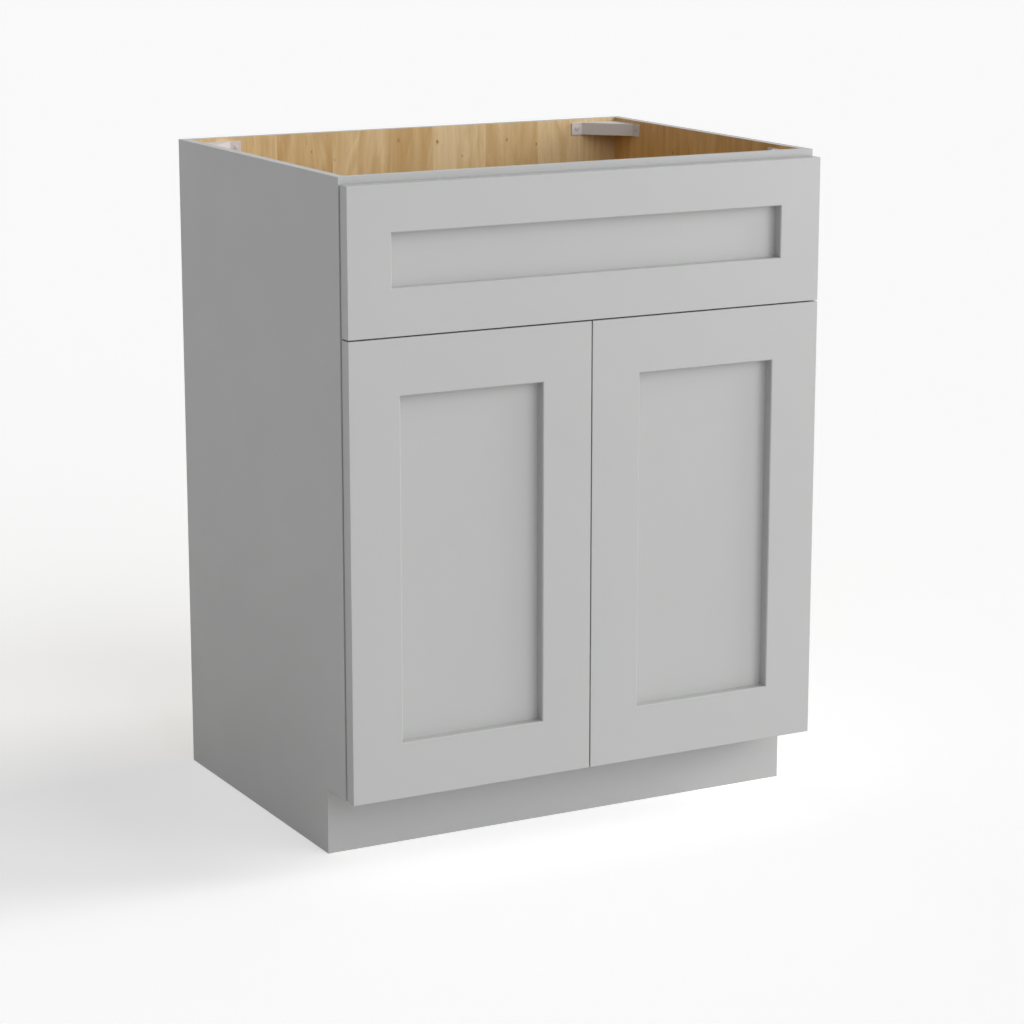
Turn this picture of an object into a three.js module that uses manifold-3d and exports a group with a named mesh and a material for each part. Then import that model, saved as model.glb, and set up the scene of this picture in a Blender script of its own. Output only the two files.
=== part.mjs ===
// Sink base cabinet, 27 in wide: a plywood box without a face frame, open at the top for the sink,
// with a fixed false drawer front, two full-overlay doors on concealed cup hinges, and a toe space.
// Millimetres. X runs across the front, Y from the doors to the wall, Z up from the floor.
import * as THREE from 'three';
import { mergeVertices } from 'three/addons/utils/BufferGeometryUtils.js';
import Module from 'manifold-3d';

const wasm = await Module();
wasm.setup();

// ---------------------------------------------------------------- driving dimensions

// The box
const cabinetWidth = 685.8;
const cabinetHeight = 876.3;
const carcassDepth = 508;
const sideThickness = 12.7;
const backThickness = 12.7;
const bottomThickness = 12.7;
const railThickness = 12.7;
const topRailHeight = 76.2;
const midRailHeight = 63.5;
const toeHeight = 87;
const toeSetback = 55;
const toeBoardThickness = 12.7;
const grooveDepth = 6.35; // how far the bottom and the back are let into the sides
const grooveFit = 0.15;

// The doors and the false front
const frontThickness = 19;
const frontStandoff = 2; // room that the bumpers keep between the fronts and the box
const sideReveal = 1.2;
const topReveal = 9;
const doorDrop = 1; // the doors hang this far below the box's underside
const falseFrontHeight = 188;
const falseFrontBorder = 60;
const frontGap = 1.8; // between the false front and the doors
const doorGap = 1.6; // between the two doors
const doorStileWidth = 70;
const doorRailWidth = 73;
const panelThickness = 5;
const rabbetWidth = 9.5;
const panelFit = 0.5;
const outerEase = 0.4;
const recessEase = 1.2;
const tenonLength = 12;
const tenonThickness = 6.4;
const tenonShoulder = 8;
const tenonFit = 0.2;

// Corner braces
const braceLeg = 72;
const braceTab = 16;
const braceHeight = 17;
const braceBelowRim = 5;
const braceWall = 2.4;
const braceCornerCut = 7;
const braceScrewRadius = 2;
const braceRibWall = 1.8;

// False-front screws and bumpers
const screwRadius = 2.1;
const screwClearance = 0.3;
const screwBite = 12; // how far a screw goes into the false front
const screwTip = 4;
const screwHeadRadius = 4.6;
const screwHeadHeight = 2.8;
const screwHeadRim = 1.1; // height of the head's upright edge
const screwHeadCrown = 3.2; // radius of the head's flat top
const crossReach = 2.5;
const crossHalfWidth = 0.6;
const crossDepth = 1.4;
const screwEndInset = 110; // from the box's sides
const bumperRadius = 4;
const bumperRim = 0.7;
const bumperTipRadius = 1.2;
const bumperInset = 14;

// Concealed hinges
const hingeInset = 90; // cup centre from the door's top and bottom ends
const cupRadius = 17.5;
const cupFit = 0.2;
const cupWall = 0.7;
const cupDepth = 12.8;
const cupEdge = 3; // wood left between the bore and the door's edge
const cupWingHalfWidth = 9;
const cupWingHalfLength = 29;
const cupWingRounding = 7;
const cupWingThickness = 1;
const cupScrewRadius = 1.8;
const cupScrewSpacing = 48;
const pivotInset = 6.1; // pivot from the door's outer edge
const pivotDepth = 9.8; // pivot below the door's back face
const pinRadius = 0.9;
const pinFit = 0.05;
const pinEndFit = 0.3;
const eyeRadius = 1.6;
const armPlate = 1.2;
const shankDrop = 1.3; // top of the shank below the pivot, so that the open door clears it
const riserOffset = 12.1; // riser from the pivot, outside the sweep of the door's edge
const riserPlate = 1.6;
const armBendRadius = 2.2;
const eyeHalfWidth = 3;
const armHalfWidth = 7;
const armNeckClear = 1.5; // the arm stays narrow until it is this far out of the cup
const armShoulder = 4;
const armChannelWall = 1.2;
const armChannelStart = 8;
const armLength = 58; // behind the box's front
const armScrewRadius = 3;
const armScrewProud = 1;
const armScrewSlot = 0.8;
const armScrewPlaces = [24, 50]; // side and depth adjustment
const plateBase = 2.2;
const plateSetback = 37; // screw line behind the box's front
const plateWingHalfLength = 25;
const plateWingHalfWidth = 7;
const plateHalfLength = 22;
const plateScrewSpacing = 32;
const plateScrewRadius = 2;
const plateFit = 0.3;

// Facets, and how far a cutting shape runs past the face that it cuts
const cupSides = 40;
const pinSides = 20;
const holeSides = 16;
const domeSteps = 4;
const bendSteps = 6;
const cutPast = 1;
const weldDistance = 1e-4;

// ---------------------------------------------------------------- finishes

const finishes = {
  greyPaint: { color: 0xbcbdbc, roughness: 0.55, metalness: 0 },
  mapleVeneer: { color: 0xd0a870, roughness: 0.5, metalness: 0 },
  greyPlastic: { color: 0xc9c6c8, roughness: 0.6, metalness: 0 },
  nickelSteel: { color: 0xb5b3ae, roughness: 0.3, metalness: 0.9 },
  zincScrew: { color: 0xc4c2b8, roughness: 0.35, metalness: 0.9 },
  clearRubber: { color: 0xd9d7d0, roughness: 0.7, metalness: 0 },
};

// ---------------------------------------------------------------- solids

function solidFrom(geometry) {
  const bare = geometry.index ? geometry.toNonIndexed() : geometry.clone();
  bare.deleteAttribute('normal');
  bare.deleteAttribute('uv');
  const merged = mergeVertices(bare, weldDistance);
  return new wasm.Manifold(new wasm.Mesh({
    numProp: 3,
    vertProperties: merged.attributes.position.array,
    triVerts: new Uint32Array(merged.index.array),
  }));
}

function geometryFrom(solid) {
  const mesh = solid.getMesh();
  const geometry = new THREE.BufferGeometry();
  const positions = new THREE.BufferAttribute(new Float32Array(mesh.vertProperties), 3);
  geometry.setAttribute('position', positions);
  geometry.setIndex(new THREE.BufferAttribute(new Uint32Array(mesh.triVerts), 1));
  const faceted = geometry.toNonIndexed();
  faceted.computeVertexNormals();
  return faceted;
}

// A block between two corners.
function block([x0, x1], [y0, y1], [z0, z1]) {
  const box = new THREE.BoxGeometry(x1 - x0, y1 - y0, z1 - z0);
  box.translate((x0 + x1) / 2, (y0 + y1) / 2, (z0 + z1) / 2);
  return solidFrom(box);
}

function extruded(outline, depth) {
  return new THREE.ExtrudeGeometry(outline, { depth, bevelEnabled: false, curveSegments: bendSteps });
}

// An outline drawn in (X, Y) and pushed up along Z.
function prismAlongZ(outline, [z0, z1]) {
  const prism = extruded(outline, z1 - z0);
  prism.translate(0, 0, z0);
  return solidFrom(prism);
}

// An outline drawn in (X, Z) and pushed back along Y.
function prismAlongY(outline, [y0, y1]) {
  const prism = extruded(outline, y1 - y0);
  prism.rotateX(Math.PI / 2);
  prism.translate(0, y1, 0);
  return solidFrom(prism);
}

// An outline drawn in (Y, Z) and pushed right along X.
function prismAlongX(outline, [x0, x1]) {
  const prism = extruded(outline, x1 - x0);
  const axes = new THREE.Matrix4().makeBasis(
    new THREE.Vector3(0, 1, 0), new THREE.Vector3(0, 0, 1), new THREE.Vector3(1, 0, 0),
  );
  prism.applyMatrix4(axes);
  prism.translate(x0, 0, 0);
  return solidFrom(prism);
}

// A profile of radii and depths, turned about an axis that runs along Y through (x, z).
function turned(profile, [x, z], sides) {
  const points = profile.map(([radius, depth]) => new THREE.Vector2(radius, depth));
  const round = new THREE.LatheGeometry(points, sides);
  round.translate(x, 0, z);
  return solidFrom(round);
}

// A round bar along one axis, from its start to its end on that axis.
function bar(axis, [a, b], [u, v], radius, sides) {
  const round = new THREE.CylinderGeometry(radius, radius, b - a, sides);
  const middle = (a + b) / 2;
  if (axis === 'x') {
    round.rotateZ(-Math.PI / 2);
    round.translate(middle, u, v);
  } else if (axis === 'y') {
    round.translate(u, middle, v);
  } else {
    round.rotateX(Math.PI / 2);
    round.translate(u, v, middle);
  }
  return solidFrom(round);
}

function polygon(points) {
  return new THREE.Shape(points.map(([x, y]) => new THREE.Vector2(x, y)));
}

// A rectangular blank with all the edges round its front and back face eased.
function easedBlank([x0, x1], [y0, y1], [z0, z1], ease) {
  const outline = polygon([
    [x0 + ease, z0 + ease], [x1 - ease, z0 + ease], [x1 - ease, z1 - ease], [x0 + ease, z1 - ease],
  ]);
  const blank = new THREE.ExtrudeGeometry(outline, {
    depth: y1 - y0 - 2 * ease,
    bevelEnabled: true,
    bevelThickness: ease,
    bevelSize: ease,
    bevelSegments: 1,
    curveSegments: 1,
  });
  blank.rotateX(Math.PI / 2);
  blank.translate(0, y1 - ease, 0);
  return solidFrom(blank);
}

// ---------------------------------------------------------------- nodes

const cabinet = new THREE.Group();
cabinet.name = 'sink_base_cabinet';

const carcass = new THREE.Group();
const fixedFront = new THREE.Group();
const leftLeaf = new THREE.Group();
const rightLeaf = new THREE.Group();
cabinet.add(carcass, fixedFront, leftLeaf, rightLeaf);

const materials = Object.fromEntries(
  Object.entries(finishes).map(([name, values]) => [name, new THREE.MeshStandardMaterial(values)]),
);

function addPiece(group, name, solid, finish) {
  const mesh = new THREE.Mesh(geometryFrom(solid), materials[finish].clone());
  mesh.name = name;
  group.add(mesh);
}

// The same piece on the other side of the cabinet.
function mirrored(solid) {
  const geometry = geometryFrom(solid);
  const position = geometry.attributes.position;
  for (let corner = 0; corner < position.count; corner += 3) {
    const [first, second, third] = [0, 2, 1].map((step) => [
      -position.getX(corner + step), position.getY(corner + step), position.getZ(corner + step),
    ]);
    position.setXYZ(corner, ...first);
    position.setXYZ(corner + 1, ...second);
    position.setXYZ(corner + 2, ...third);
  }
  return solidFrom(geometry);
}

// ---------------------------------------------------------------- levels and faces

const halfWidth = cabinetWidth / 2;
const innerHalfWidth = halfWidth - sideThickness;
const backFace = carcassDepth - backThickness; // inner face of the back panel
const frontsBack = -frontStandoff; // back face of the doors and the false front
const frontsFace = frontsBack - frontThickness;
const falseFrontTop = cabinetHeight - topReveal;
const falseFrontBottom = falseFrontTop - falseFrontHeight;
const doorTop = falseFrontBottom - frontGap;
const doorBottom = toeHeight - doorDrop;
const midRailMiddle = falseFrontBottom - frontGap / 2;
const midRailTop = midRailMiddle + midRailHeight / 2;
const midRailBottom = midRailMiddle - midRailHeight / 2;
const topRailBottom = cabinetHeight - topRailHeight;

// ---------------------------------------------------------------- the box

// A side panel with its toe notch, a groove for the bottom and a rabbet for the back.
function leftSide() {
  const outline = polygon([
    [0, toeHeight], [toeSetback, toeHeight], [toeSetback, 0],
    [carcassDepth, 0], [carcassDepth, cabinetHeight], [0, cabinetHeight],
  ]);
  const inner = -halfWidth + sideThickness;
  const letIn = [inner - grooveDepth, inner + cutPast];
  const bottomGroove = block(
    letIn, [-cutPast, backFace + cutPast],
    [toeHeight - grooveFit, toeHeight + bottomThickness + grooveFit],
  );
  const backRabbet = block(
    letIn, [backFace - grooveFit, carcassDepth + cutPast], [-cutPast, cabinetHeight + cutPast],
  );
  return prismAlongX(outline, [-halfWidth, inner]).subtract(bottomGroove).subtract(backRabbet);
}

const side = leftSide();
addPiece(carcass, 'side_panel_left', side, 'greyPaint');
addPiece(carcass, 'side_panel_right', mirrored(side), 'greyPaint');

const letInHalfWidth = innerHalfWidth + grooveDepth - grooveFit;
addPiece(carcass, 'back_panel', block(
  [-letInHalfWidth, letInHalfWidth], [backFace, carcassDepth], [0, cabinetHeight],
), 'mapleVeneer');
addPiece(carcass, 'bottom_panel', block(
  [-letInHalfWidth, letInHalfWidth], [0, backFace - grooveFit], [toeHeight, toeHeight + bottomThickness],
), 'mapleVeneer');
addPiece(carcass, 'toe_kick_board', block(
  [-innerHalfWidth, innerHalfWidth], [toeSetback, toeSetback + toeBoardThickness], [0, toeHeight],
), 'greyPaint');

// The two rails behind the false front, each drilled for the screws that hold it.
const screwPlaces = [-1, 1].map((hand) => hand * (halfWidth - screwEndInset));
const screwLevels = {
  top: falseFrontTop - falseFrontBorder / 2,
  bottom: (falseFrontBottom + midRailTop) / 2,
};

// Holes for the two screws on one level.
function screwHoles(depth, level) {
  return screwPlaces
    .map((place) => bar('y', depth, [place, level], screwRadius + screwClearance, holeSides))
    .reduce((all, one) => all.add(one));
}

function drilledRail(span, screwLevel) {
  return block([-innerHalfWidth, innerHalfWidth], [0, railThickness], span)
    .subtract(screwHoles([-cutPast, railThickness + cutPast], screwLevel));
}

const topRail = drilledRail([topRailBottom, cabinetHeight], screwLevels.top);
const midRail = drilledRail([midRailBottom, midRailTop], screwLevels.bottom);
addPiece(carcass, 'top_front_rail', topRail, 'greyPaint');
addPiece(carcass, 'mid_front_rail', midRail, 'greyPaint');

// ---------------------------------------------------------------- corner braces

// A moulded brace in its own corner: U and V run along the two walls, and W is up.
// It is a hollow three-cornered box, open below, with a screw tab along each wall.
function cornerBrace() {
  const web = braceLeg - braceTab;
  const top = cabinetHeight - braceBelowRim;
  const bottom = top - braceHeight;
  const body = prismAlongZ(polygon([
    [braceCornerCut, 0], [braceLeg, 0], [braceLeg, braceWall], [web, braceWall],
    [braceWall, web], [braceWall, braceLeg], [0, braceLeg], [0, braceCornerCut],
  ]), [bottom, top]);
  const slant = braceWall * Math.SQRT2;
  const far = web - slant;
  const near = braceCornerCut + slant - braceWall;
  const hollow = prismAlongZ(polygon([
    [near, braceWall], [far, braceWall], [braceWall, far], [braceWall, near],
  ]), [bottom - cutPast, top - braceWall]);
  const ribHalf = braceRibWall / Math.SQRT2;
  const rib = prismAlongZ(polygon([
    [braceWall, braceWall + ribHalf], [braceWall + ribHalf, braceWall],
    [web / 2 + ribHalf / 2, web / 2 - ribHalf / 2], [web / 2 - ribHalf / 2, web / 2 + ribHalf / 2],
  ]), [bottom + braceWall, top]).intersect(prismAlongZ(polygon([
    [braceCornerCut, 0], [web, 0], [0, web], [0, braceCornerCut],
  ]), [bottom, top]));
  const hole = [braceLeg - braceTab / 2, (top + bottom) / 2];
  const through = [-cutPast, braceWall + cutPast];
  const holes = bar('y', through, hole, braceScrewRadius, holeSides)
    .add(bar('x', through, hole, braceScrewRadius, holeSides));
  return body.subtract(hollow).add(rib).subtract(holes);
}

// Turned into the left corner of the box, at the front rail or at the back panel.
function placedBrace(atBack) {
  const geometry = geometryFrom(cornerBrace());
  if (atBack) {
    geometry.rotateZ(-Math.PI / 2);
    geometry.translate(-innerHalfWidth, backFace, 0);
  } else {
    geometry.translate(-innerHalfWidth, railThickness, 0);
  }
  return solidFrom(geometry);
}

for (const [place, atBack] of [['front', false], ['back', true]]) {
  const brace = placedBrace(atBack);
  addPiece(carcass, `corner_brace_${place}_left`, brace, 'greyPlastic');
  addPiece(carcass, `corner_brace_${place}_right`, mirrored(brace), 'greyPlastic');
}

// ---------------------------------------------------------------- doors and false front

// One framed front: two stiles, two rails tenoned into them, and a flat panel in a rabbet behind.
// Its outer edges and the edges round its recess are eased.
function framedFront([x0, x1], [z0, z1], stileWidth, railWidth) {
  const open = { x: [x0 + stileWidth, x1 - stileWidth], z: [z0 + railWidth, z1 - railWidth] };
  const blank = easedBlank([x0, x1], [frontsFace, frontsBack], [z0, z1], outerEase);
  const recess = easedBlank(
    [open.x[0] - recessEase, open.x[1] + recessEase],
    [frontsFace - frontThickness, frontsFace + recessEase],
    [open.z[0] - recessEase, open.z[1] + recessEase],
    recessEase,
  );
  const rabbet = block(
    [open.x[0] - rabbetWidth, open.x[1] + rabbetWidth],
    [frontsBack - panelThickness, frontsBack + cutPast],
    [open.z[0] - rabbetWidth, open.z[1] + rabbetWidth],
  );
  const middle = frontsBack - frontThickness / 2;

  function tenons([low, high], fit) {
    const y = [middle - tenonThickness / 2 - fit, middle + tenonThickness / 2 + fit];
    const x = [open.x[0] - tenonLength - fit, open.x[1] + tenonLength + fit];
    return block(x, y, [low + tenonShoulder - fit, high - tenonShoulder + fit]);
  }

  const levels = { bottom: [z0, open.z[0]], top: [open.z[1], z1] };
  const mortises = tenons(levels.bottom, tenonFit).add(tenons(levels.top, tenonFit));
  const stile = (span) => block(span, [frontsFace, frontsBack], [z0, z1])
    .intersect(blank).subtract(recess).subtract(rabbet).subtract(mortises);
  const rail = (level) => block(open.x, [frontsFace, frontsBack], level)
    .intersect(blank).subtract(recess).subtract(rabbet).add(tenons(level, 0));
  const play = rabbetWidth - panelFit;
  return {
    leftStile: stile([x0, open.x[0]]),
    rightStile: stile([open.x[1], x1]),
    topRail: rail(levels.top),
    bottomRail: rail(levels.bottom),
    panel: block(
      [open.x[0] - play, open.x[1] + play],
      [frontsBack - panelThickness, frontsBack],
      [open.z[0] - play, open.z[1] + play],
    ),
  };
}

// A domed bumper on the back of a front, its flat tip resting on the box.
function bumper(x, z) {
  const profile = [[0, frontsBack], [bumperRadius, frontsBack]];
  for (let step = 0; step <= domeSteps; step += 1) {
    const turn = (Math.PI / 2) * (step / domeSteps);
    const radius = bumperTipRadius + (bumperRadius - bumperTipRadius) * Math.cos(turn);
    const height = bumperRim + (frontStandoff - bumperRim) * Math.sin(turn);
    profile.push([radius, frontsBack + height]);
  }
  profile.push([0, frontsBack + frontStandoff]);
  return turned(profile, [x, z], holeSides);
}

const frontsHalfWidth = halfWidth - sideReveal;

// The false front, screwed from behind through the two rails.
const falseFront = framedFront(
  [-frontsHalfWidth, frontsHalfWidth], [falseFrontBottom, falseFrontTop],
  falseFrontBorder, falseFrontBorder,
);

const pilotDepth = [frontsBack - screwBite - screwClearance, frontsBack + cutPast];
const falseFrontPieces = {
  stile_left: falseFront.leftStile,
  stile_right: falseFront.rightStile,
  rail_top: falseFront.topRail.subtract(screwHoles(pilotDepth, screwLevels.top)),
  rail_bottom: falseFront.bottomRail.subtract(screwHoles(pilotDepth, screwLevels.bottom)),
  panel: falseFront.panel,
};
for (const [piece, solid] of Object.entries(falseFrontPieces)) {
  addPiece(fixedFront, `false_front_${piece}`, solid, 'greyPaint');
}

// A pan-head screw, its head on the back of a rail and its tip in the false front.
function frontScrew(x, z) {
  const tip = frontsBack - screwBite;
  const head = railThickness + screwHeadHeight;
  const pin = turned([
    [0, tip], [screwRadius, tip + screwTip], [screwRadius, railThickness],
    [screwHeadRadius, railThickness], [screwHeadRadius, railThickness + screwHeadRim],
    [screwHeadCrown, head], [0, head],
  ], [x, z], holeSides);
  const depth = [head - crossDepth, head + cutPast];
  const level = block(
    [x - crossReach, x + crossReach], depth, [z - crossHalfWidth, z + crossHalfWidth],
  );
  const upright = block(
    [x - crossHalfWidth, x + crossHalfWidth], depth, [z - crossReach, z + crossReach],
  );
  return pin.subtract(level).subtract(upright);
}

const frontBumperLevels = {
  top: falseFrontTop - bumperInset,
  bottom: (falseFrontBottom + screwLevels.bottom) / 2,
};
const frontBumperPlace = innerHalfWidth - bumperInset;
for (const [row, level] of Object.entries(screwLevels)) {
  const padLevel = frontBumperLevels[row];
  for (const [index, hand] of ['left', 'right'].entries()) {
    const place = screwPlaces[index];
    const pad = bumper(Math.sign(place) * frontBumperPlace, padLevel);
    addPiece(fixedFront, `false_front_screw_${row}_${hand}`, frontScrew(place, level), 'zincScrew');
    addPiece(fixedFront, `false_front_bumper_${row}_${hand}`, pad, 'clearRubber');
  }
}

// ---------------------------------------------------------------- hinges

const cupCentre = -frontsHalfWidth + cupEdge + cupRadius; // across, on the left door
const cupOuter = cupRadius - cupFit;
const cupInner = cupOuter - cupWall;
const pivotX = -frontsHalfWidth + pivotInset;
const pivotY = frontsBack - pivotDepth;
const plateFace = -innerHalfWidth; // inner face of the left side panel
const riserX = pivotX + riserOffset;
const hingeLevels = { top: doorTop - hingeInset, bottom: doorBottom + hingeInset };

// The bore for one cup, and the cup with its two screw wings.
function cupBore(level) {
  const depth = [frontsBack - cupDepth - cupWall - cupFit, frontsBack + cutPast];
  return bar('y', depth, [cupCentre, level], cupRadius, cupSides);
}

// The outline of the flange: two tongues with rounded ends.
function flangeOutline(level) {
  const [low, high] = [level - cupWingHalfLength, level + cupWingHalfLength];
  const [left, right] = [cupCentre - cupWingHalfWidth, cupCentre + cupWingHalfWidth];
  const outline = new THREE.Shape();
  outline.moveTo(left, low + cupWingRounding);
  outline.quadraticCurveTo(left, low, cupCentre, low);
  outline.quadraticCurveTo(right, low, right, low + cupWingRounding);
  outline.lineTo(right, high - cupWingRounding);
  outline.quadraticCurveTo(right, high, cupCentre, high);
  outline.quadraticCurveTo(left, high, left, high - cupWingRounding);
  outline.closePath();
  return outline;
}

function hingeCup(level) {
  const floor = frontsBack - cupDepth;
  const rim = frontsBack + cupWingThickness;
  const shell = turned([
    [0, floor - cupWall], [cupOuter, floor - cupWall], [cupOuter, rim],
    [cupInner, rim], [cupInner, floor], [0, floor],
  ], [cupCentre, level], cupSides);
  const through = [frontsBack - cutPast, rim + cutPast];
  const mouth = bar('y', through, [cupCentre, level], (cupInner + cupOuter) / 2, cupSides);
  let flange = prismAlongY(flangeOutline(level), [frontsBack, rim]).subtract(mouth);
  for (const hand of [-1, 1]) {
    const screw = [cupCentre, level + (hand * cupScrewSpacing) / 2];
    flange = flange.subtract(bar('y', through, screw, cupScrewRadius, holeSides));
  }
  return shell.add(flange);
}

// The pin spans the cup where the pivot lies, and stops just short of its wall.
function hingePin(level) {
  const reach = cupCentre - pivotX + pinRadius;
  const half = Math.sqrt(cupInner ** 2 - reach ** 2) - pinEndFit;
  return bar('z', [level - half, level + half], [pivotX, pivotY], pinRadius, holeSides);
}

// The cranked arm: an eye round the pin, a shank along the cup's floor, a riser out of the cup,
// and a channel that runs back over the mounting plate.
function hingeArm(level) {
  const shankTop = pivotY - shankDrop;
  const shankBottom = shankTop - armPlate;
  const outerX = riserX + riserPlate;
  const bend = [outerX - armBendRadius, shankBottom + armBendRadius];
  const profile = new THREE.Shape();
  profile.moveTo(pivotX, shankBottom);
  profile.lineTo(bend[0], shankBottom);
  profile.absarc(...bend, armBendRadius, -Math.PI / 2, 0, false);
  profile.lineTo(outerX, armLength);
  profile.lineTo(riserX, armLength);
  profile.lineTo(riserX, shankTop);
  profile.lineTo(pivotX, shankTop);
  profile.closePath();

  const width = [level - armHalfWidth, level + armHalfWidth];
  const eye = bar('z', width, [pivotX, pivotY], eyeRadius, pinSides);
  const [start, end] = [shankBottom - cutPast, armLength + cutPast];
  const neckEnd = frontsBack + cupWingThickness + armNeckClear;
  const plan = polygon([
    [start, level - eyeHalfWidth], [neckEnd, level - eyeHalfWidth],
    [neckEnd + armShoulder, level - armHalfWidth], [end, level - armHalfWidth],
    [end, level + armHalfWidth], [neckEnd + armShoulder, level + armHalfWidth],
    [neckEnd, level + eyeHalfWidth], [start, level + eyeHalfWidth],
  ]);
  const pinHole = bar(
    'z', [width[0] - cutPast, width[1] + cutPast], [pivotX, pivotY], pinRadius + pinFit, holeSides,
  );
  let arm = prismAlongZ(profile, width).add(eye)
    .intersect(prismAlongX(plan, [pivotX - eyeRadius - cutPast, outerX + cutPast]))
    .subtract(pinHole);

  const cheekX = [plateFace + plateBase + plateFit, riserX + riserPlate / 2];
  const cheekY = [armChannelStart, armLength];
  const lowCheek = block(cheekX, cheekY, [width[0], width[0] + armChannelWall]);
  const highCheek = block(cheekX, cheekY, [width[1] - armChannelWall, width[1]]);
  arm = arm.add(lowCheek).add(highCheek);

  const face = outerX + armScrewProud;
  for (const place of armScrewPlaces) {
    const head = bar('x', [outerX - riserPlate / 2, face], [place, level], armScrewRadius, holeSides);
    const slot = block(
      [face - armScrewProud / 2, face + cutPast],
      [place - armScrewRadius, place + armScrewRadius],
      [level - armScrewSlot / 2, level + armScrewSlot / 2],
    );
    arm = arm.add(head).subtract(slot);
  }
  return arm;
}

// The mounting plate: a base with two screw wings, and a saddle that the arm's channel sits over.
function mountingPlate(level) {
  const baseX = [plateFace, plateFace + plateBase];
  const saddleHalf = armHalfWidth - armChannelWall - plateFit;
  const spine = [plateSetback - plateHalfLength, plateSetback + plateHalfLength];
  const base = block(baseX, spine, [level - armHalfWidth, level + armHalfWidth]);
  const wingArc = plateWingHalfLength - plateWingHalfWidth;
  const wing = new THREE.Shape();
  wing.absarc(plateSetback, level + wingArc, plateWingHalfWidth, 0, Math.PI, false);
  wing.absarc(plateSetback, level - wingArc, plateWingHalfWidth, Math.PI, 2 * Math.PI, false);
  wing.closePath();
  const saddle = block(
    [plateFace, riserX - plateFit], [spine[0] + plateBase, spine[1] - plateBase],
    [level - saddleHalf, level + saddleHalf],
  );
  let plate = base.add(prismAlongX(wing, baseX)).add(saddle);
  const through = [baseX[0] - cutPast, baseX[1] + cutPast];
  for (const hand of [-1, 1]) {
    const hole = [plateSetback, level + (hand * plateScrewSpacing) / 2];
    plate = plate.subtract(bar('x', through, hole, plateScrewRadius, holeSides));
  }
  return plate;
}

for (const [place, level] of Object.entries(hingeLevels)) {
  const pieces = [
    ['cup', hingeCup(level), leftLeaf, rightLeaf],
    ['pin', hingePin(level), leftLeaf, rightLeaf],
    ['arm', hingeArm(level), carcass, carcass],
    ['mounting_plate', mountingPlate(level), carcass, carcass],
  ];
  for (const [piece, solid, leftGroup, rightGroup] of pieces) {
    addPiece(leftGroup, `left_hinge_${place}_${piece}`, solid, 'nickelSteel');
    addPiece(rightGroup, `right_hinge_${place}_${piece}`, mirrored(solid), 'nickelSteel');
  }
}

// ---------------------------------------------------------------- the doors

const leftDoor = framedFront(
  [-frontsHalfWidth, -doorGap / 2], [doorBottom, doorTop], doorStileWidth, doorRailWidth,
);
const bores = cupBore(hingeLevels.top).add(cupBore(hingeLevels.bottom));
const doorPieces = {
  hinge_stile: leftDoor.leftStile.subtract(bores),
  lock_stile: leftDoor.rightStile,
  top_rail: leftDoor.topRail,
  bottom_rail: leftDoor.bottomRail,
  panel: leftDoor.panel,
};
for (const [piece, solid] of Object.entries(doorPieces)) {
  addPiece(leftLeaf, `left_door_${piece}`, solid, 'greyPaint');
  addPiece(rightLeaf, `right_door_${piece}`, mirrored(solid), 'greyPaint');
}

const doorBumperX = -doorGap / 2 - bumperInset;
const doorBumperLevels = {
  top: (midRailBottom + doorTop) / 2,
  bottom: toeHeight + bottomThickness / 2,
};
for (const [place, level] of Object.entries(doorBumperLevels)) {
  const pad = bumper(doorBumperX, level);
  addPiece(leftLeaf, `left_door_bumper_${place}`, pad, 'clearRubber');
  addPiece(rightLeaf, `right_door_bumper_${place}`, mirrored(pad), 'clearRubber');
}

// The origin is on the floor, under the middle of the cabinet from its doors to its back.
for (const group of [carcass, fixedFront, leftLeaf, rightLeaf]) {
  group.position.y = -(frontsFace + carcassDepth) / 2;
}

export default cabinet;
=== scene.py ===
# %% [markdown]
# # A kitchen sink base cabinet
# The cabinet is a plywood box that stands on the floor and is open at the top, so that a sink
# can hang in it. A false drawer front covers the sink bowl, and two framed doors close the space
# below. Its solids come ready made from the CAD model. They could all be remade here, but they
# already have the right sizes and they move on the right hinges. So this lesson keeps them,
# gives each one a real finish, and adds the small fasteners that a CAD model leaves out.

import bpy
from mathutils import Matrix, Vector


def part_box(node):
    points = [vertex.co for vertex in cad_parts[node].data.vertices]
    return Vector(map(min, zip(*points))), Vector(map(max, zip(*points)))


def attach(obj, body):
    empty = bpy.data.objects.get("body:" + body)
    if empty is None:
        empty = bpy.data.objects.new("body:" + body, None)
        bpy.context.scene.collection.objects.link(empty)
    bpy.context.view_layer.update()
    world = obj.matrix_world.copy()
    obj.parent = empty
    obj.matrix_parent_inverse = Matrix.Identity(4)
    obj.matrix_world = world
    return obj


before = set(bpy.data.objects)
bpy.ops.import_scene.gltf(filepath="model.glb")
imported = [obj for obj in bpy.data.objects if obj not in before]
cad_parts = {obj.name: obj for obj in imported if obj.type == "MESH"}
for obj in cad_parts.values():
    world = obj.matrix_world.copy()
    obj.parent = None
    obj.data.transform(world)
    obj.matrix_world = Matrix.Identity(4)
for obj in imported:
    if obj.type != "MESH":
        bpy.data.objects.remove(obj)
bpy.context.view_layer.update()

# %% [markdown]
# ## Units
# Blender measures in metres, and a cabinet maker in millimetres. Sizes could be typed in metres,
# but 85 * MM is easier to hold against a ruler than 0.085. The axes get names too, so that a part
# of a vector is picked by its letter.

# %% Tools and units
import math

import bmesh
import bpy
from mathutils import Matrix, Vector

MM = 0.001
X, Y, Z = 0, 1, 2
scene = bpy.context.scene

# %% [markdown]
# ## The camera
# A cabinet is photographed with a long lens from chest height, a little to its left and
# above its rim, so that the front, one side and a strip of the inside all show. A wide lens from
# close by would make the near corner bulge. The long lens keeps the doors nearly upright.

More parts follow.
